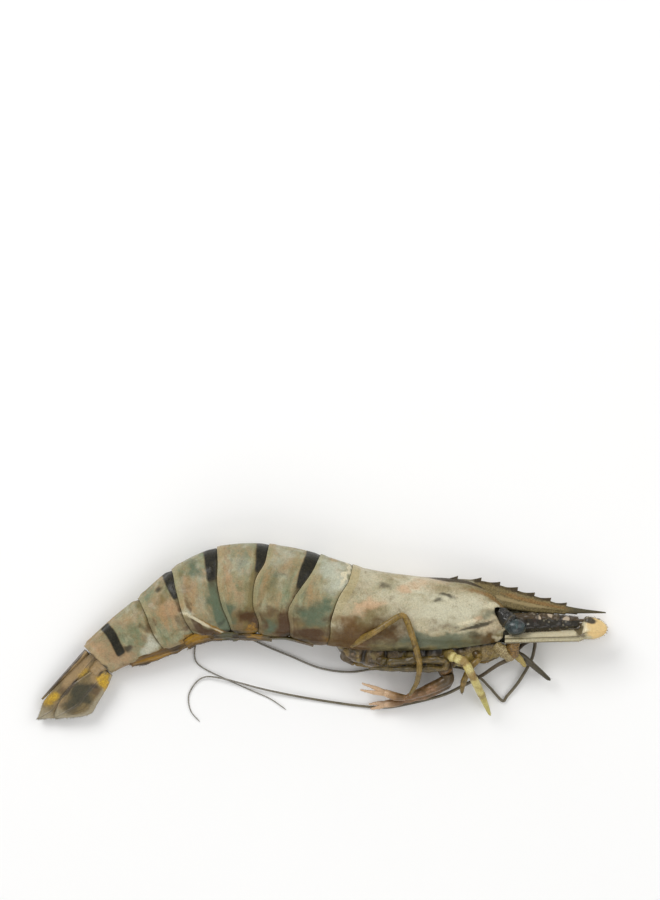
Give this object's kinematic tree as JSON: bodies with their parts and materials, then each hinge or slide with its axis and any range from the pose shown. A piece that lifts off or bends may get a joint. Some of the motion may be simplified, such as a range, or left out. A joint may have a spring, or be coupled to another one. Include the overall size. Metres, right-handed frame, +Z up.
{
  "type": "raw tiger prawn",
  "caption": "Whole raw prawn lying on its side: smooth carapace with a toothed rostrum, dark-banded bent tail in segments, folded legs, long trailing feelers and a tail fan.",
  "frame": {"origin": "middle of the footprint, on the surface that the prawn lies on", "axes": "+X towards the head, +Y towards the back, +Z up through the right flank"},
  "size_m": [0.194, 0.0615, 0.0237],
  "materials": {
    "shell": "wet, mottled, with dark bands",
    "pale_shell": "wet, mottled grey, pink and olive",
    "tail_fan": "wet, dark with yellow spots",
    "eye": "wet and glossy",
    "antennule": "wet, with pale specks",
    "scale_blade": "wet and thin",
    "antenna": "satin",
    "leg": "wet",
    "yellow_leg": "wet",
    "claw": "wet",
    "underside": "wet",
    "swimmeret": "wet and soft"
  },
  "bodies": {
    "root": {"carapace": "pale_shell", "thorax_underside": "underside", "abdomen_segment_1": "shell", "abdomen_segment_2": "shell", "abdomen_segment_3": "shell", "abdomen_segment_4": "shell", "abdomen_segment_5": "shell", "abdomen_segment_6": "shell", "telson": "tail_fan", "uropod_exopod_right": "tail_fan", "uropod_exopod_left": "tail_fan", "uropod_endopod_right": "tail_fan", "uropod_endopod_left": "tail_fan", "eye_right": "eye", "antennule_right": "antennule", "antennal_scale_right": "scale_blade", "antenna_right": "antenna", "maxilliped_right": "leg", "leg_1_right": "leg", "leg_2_right": "yellow_leg", "leg_3_right": "claw", "leg_4_right": "leg", "leg_5_right": "leg", "swimmeret_1_right": "swimmeret", "swimmeret_2_right": "swimmeret", "swimmeret_3_right": "swimmeret", "swimmeret_4_right": "swimmeret", "swimmeret_5_right": "swimmeret", "eye_left": "eye", "antennule_left": "antennule", "antennal_scale_left": "scale_blade", "antenna_left": "antenna", "maxilliped_left": "leg", "leg_1_left": "leg", "leg_2_left": "yellow_leg", "leg_3_left": "claw", "leg_4_left": "leg", "leg_5_left": "leg", "swimmeret_1_left": "swimmeret", "swimmeret_2_left": "swimmeret", "swimmeret_3_left": "swimmeret", "swimmeret_4_left": "swimmeret", "swimmeret_5_left": "swimmeret"}
  },
  "joints": []
}
